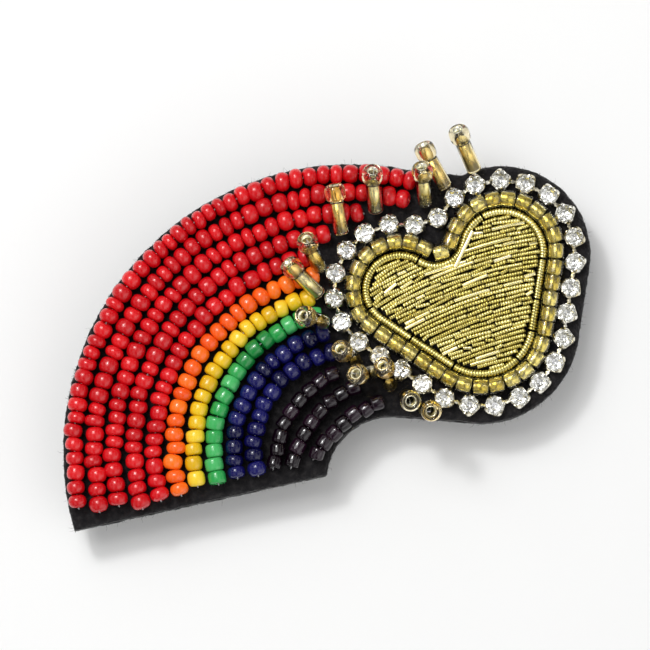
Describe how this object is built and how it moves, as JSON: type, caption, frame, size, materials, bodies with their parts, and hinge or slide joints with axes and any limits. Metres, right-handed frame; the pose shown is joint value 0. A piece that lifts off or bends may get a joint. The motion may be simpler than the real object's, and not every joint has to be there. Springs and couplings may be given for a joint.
{
  "type": "beaded brooch",
  "caption": "Bead-embroidered rainbow and heart brooch on stiffened felt, with a cup-chain edged heart, bugle-bead rays and a bar pin with a turning safety catch on the back.",
  "frame": {"origin": "centre of the footprint at the lowest point of the pin catch, with the brooch lying on its back", "axes": "+X along the rainbow's foot towards the heart, +Y up as worn, +Z out of the beaded face"},
  "size_m": [0.0708, 0.0386, 0.0155],
  "materials": {
    "felt": "black needle-punched felt with cut fuzzy edges",
    "padding_felt": "yellow felt pad under the metal coil",
    "stiffener_board": "thin pressed board",
    "red_glass": "opaque red glass beads, polished",
    "orange_glass": "opaque orange glass beads, polished",
    "yellow_glass": "opaque yellow glass beads, polished",
    "green_glass": "opaque green glass beads, polished",
    "blue_glass": "dark translucent cobalt glass beads",
    "purple_glass": "dark translucent amethyst glass beads",
    "gold_lined_glass": "gold glass beads with a silvered bore",
    "gilt_coil": "cut bullion coil, gilt",
    "stones_in_cups": "clear faceted stones in silvered brass cups",
    "bugle_glass": "pale gold tube beads with a silvered bore",
    "tip_bead_glass": "pale gold transparent round beads",
    "thread": "black sewing thread",
    "pin_steel": "nickel-plated steel"
  },
  "bodies": {
    "brooch": {"backing_felt": "felt", "bar_stitch_1": "thread", "bar_stitch_2": "thread", "bar_stitch_3": "thread", "blue_bead_row_1": "blue_glass", "blue_bead_row_2": "blue_glass", "cup_chain": "stones_in_cups", "front_felt": "felt", "green_bead_row": "green_glass", "heart_border_beads": "gold_lined_glass", "heart_edging_coil": "gilt_coil", "heart_fill": "gilt_coil", "heart_padding": "padding_felt", "orange_bead_row": "orange_glass", "pin_bar": "pin_steel", "pin_rivet": "pin_steel", "purple_bead_row_1": "purple_glass", "purple_bead_row_2": "purple_glass", "purple_bead_row_3": "purple_glass", "ray_bugle_01": "bugle_glass", "ray_bugle_02": "bugle_glass", "ray_bugle_03": "bugle_glass", "ray_bugle_04": "bugle_glass", "ray_bugle_05": "bugle_glass", "ray_bugle_06": "bugle_glass", "ray_bugle_07": "bugle_glass", "ray_bugle_08": "bugle_glass", "ray_bugle_09": "bugle_glass", "ray_bugle_10": "bugle_glass", "ray_bugle_11": "bugle_glass", "ray_bugle_12": "bugle_glass", "ray_bugle_13": "bugle_glass", "ray_tip_bead_01": "tip_bead_glass", "ray_tip_bead_02": "tip_bead_glass", "ray_tip_bead_03": "tip_bead_glass", "ray_tip_bead_04": "tip_bead_glass", "ray_tip_bead_05": "tip_bead_glass", "ray_tip_bead_06": "tip_bead_glass", "ray_tip_bead_07": "tip_bead_glass", "ray_tip_bead_08": "tip_bead_glass", "ray_tip_bead_09": "tip_bead_glass", "ray_tip_bead_10": "tip_bead_glass", "ray_tip_bead_11": "tip_bead_glass", "ray_tip_bead_12": "tip_bead_glass", "ray_tip_bead_13": "tip_bead_glass", "red_bead_row_1": "red_glass", "red_bead_row_2": "red_glass", "red_bead_row_3": "red_glass", "red_bead_row_4": "red_glass", "red_bead_row_5": "red_glass", "stiffener": "stiffener_board", "yellow_bead_row": "yellow_glass"},
    "stem": {"pin_stem": "pin_steel"},
    "rotor": {"catch_rotor": "pin_steel"}
  },
  "joints": [
    {"name": "stem_hinge", "type": "hinge", "parent": "brooch", "child": "stem", "pos_m": [-0.0149, -0.00049, 0.00191], "axis": [0, 1, 0], "range_deg": [0, 95]},
    {"name": "rotor_turn", "type": "hinge", "parent": "brooch", "child": "rotor", "pos_m": [0.0121, -0.00049, 0.00191], "axis": [1, 0, 0], "range_deg": [0, 115]}
  ]
}
